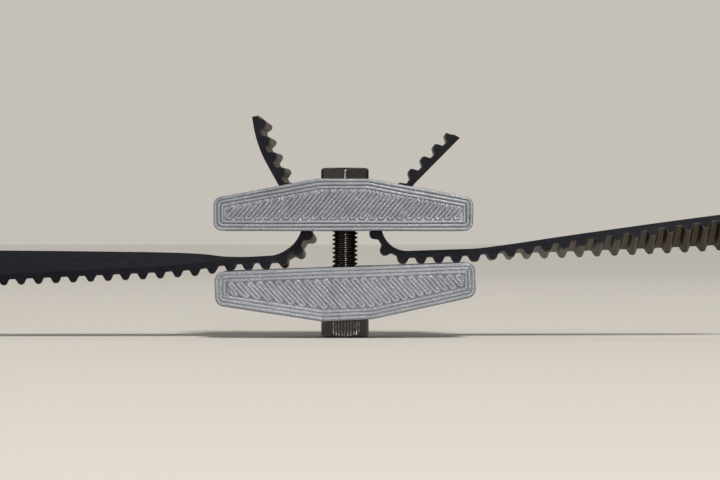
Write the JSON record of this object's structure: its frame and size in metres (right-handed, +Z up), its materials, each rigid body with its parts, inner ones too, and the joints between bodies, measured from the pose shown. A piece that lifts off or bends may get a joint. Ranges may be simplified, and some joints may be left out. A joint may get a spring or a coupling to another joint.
{
  "type": "timing belt with screw clamp",
  "caption": "Toothed timing belt whose two ends turn up through a printed two-bar clamp, drawn together by a socket-head screw and a captive nut.",
  "frame": {"origin": "on the screw's axis, at the bottom face of the screw head", "axes": "+Z up along the screw from its head to its nut, +X along the belt, +Y across the belt's width"},
  "size_m": [0.094, 0.01, 0.0254],
  "materials": {
    "printed_plastic": "satin grey printed plastic with bead and layer lines",
    "black_steel": "black-oxide steel, oiled, worn along the edges",
    "belt_rubber": "matte black rubber, smooth on the back",
    "tooth_facing": "black woven nylon facing on the teeth",
    "glass_cord": "pale glass-fibre cord, seen only at the cut ends"
  },
  "bodies": {
    "lower": {"lower_clamp": "printed_plastic", "left_run_rubber": "belt_rubber", "left_run_facing": "tooth_facing", "left_run_cords": "glass_cord", "left_bend_rubber": "belt_rubber", "left_bend_facing": "tooth_facing", "left_bend_cords": "glass_cord", "right_run_rubber": "belt_rubber", "right_run_facing": "tooth_facing", "right_run_cords": "glass_cord", "right_bend_rubber": "belt_rubber", "right_bend_facing": "tooth_facing", "right_bend_cords": "glass_cord"},
    "screw": {"clamp_screw": "black_steel"},
    "upper": {"upper_clamp": "printed_plastic", "hex_nut": "black_steel", "left_tail_rubber": "belt_rubber", "left_tail_facing": "tooth_facing", "left_tail_cords": "glass_cord", "right_tail_rubber": "belt_rubber", "right_tail_facing": "tooth_facing", "right_tail_cords": "glass_cord"}
  },
  "joints": [
    {"name": "screw_turn", "type": "hinge", "parent": "lower", "child": "screw", "pos_m": [0, 0, 0], "axis": [0, 0, 1], "range_deg": [-181, 1351]},
    {"name": "clamp_slide", "type": "slide", "parent": "lower", "child": "upper", "axis": [0, 0, -1], "range_m": [-0.00025, 0.00187], "deforming": ["left_bend_rubber", "left_bend_facing", "left_bend_cords", "right_bend_rubber", "right_bend_facing", "right_bend_cords"]}
  ],
  "couplings": [
    {"joint": "screw_turn", "follows": "clamp_slide", "rad_per_m": 12566}
  ]
}
